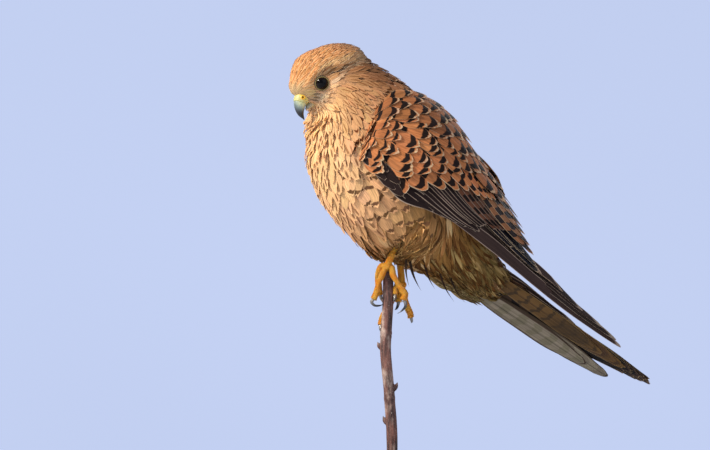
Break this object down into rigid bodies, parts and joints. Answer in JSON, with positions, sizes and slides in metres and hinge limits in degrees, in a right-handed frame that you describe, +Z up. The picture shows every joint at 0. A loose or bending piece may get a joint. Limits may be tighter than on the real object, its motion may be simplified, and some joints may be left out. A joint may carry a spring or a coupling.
{
  "type": "common kestrel model",
  "caption": "Life-size still model of a perched common kestrel with layered wing and tail feathers, gripping a short twig held upright by a round stand.",
  "frame": {"origin": "centre of the underside of the round stand base, on the surface that it rests on", "axes": "+Z up, the bird faces -Y, and its left side is +X"},
  "size_m": [0.124, 0.2896, 0.2862],
  "materials": {
    "plumage_rufous": "matt feathers, rufous with dark bars",
    "plumage_buff": "soft matt feathers, buff with dark streaks",
    "plumage_head": "fine matt feathers, rufous with thin dark streaks",
    "flight_dark": "smooth dark flight feathers with pale edges",
    "tail_barred": "smooth barred tail feathers",
    "eye": "wet gloss, very dark brown",
    "horn": "polished horn, blue grey to black",
    "cere": "waxy yellow skin",
    "foot_skin": "scaly orange yellow skin",
    "claw": "polished black horn",
    "bark": "rough red-brown bark with pale patches",
    "base_wood": "satin turned hardwood",
    "steel": "brushed steel"
  },
  "bodies": {
    "root": {"torso": "plumage_buff", "neck": "plumage_buff", "head": "plumage_head", "eye_left": "eye", "eye_right": "eye", "cere": "cere", "bill_upper": "horn", "bill_lower": "horn", "thigh_left": "plumage_buff", "thigh_right": "plumage_buff", "foot_left": "foot_skin", "foot_right": "foot_skin", "claw_left_outer": "claw", "claw_left_middle": "claw", "claw_left_inner": "claw", "claw_left_hind": "claw", "claw_right_outer": "claw", "claw_right_middle": "claw", "claw_right_inner": "claw", "claw_right_hind": "claw", "wing_left_coverts": "plumage_rufous", "wing_right_coverts": "plumage_rufous", "wing_left_secondaries": "flight_dark", "wing_right_secondaries": "flight_dark", "wing_left_primaries": "flight_dark", "wing_right_primaries": "flight_dark", "tail": "tail_barred", "perch_twig": "bark", "stand_rod": "steel", "stand_base": "base_wood"}
  },
  "joints": []
}
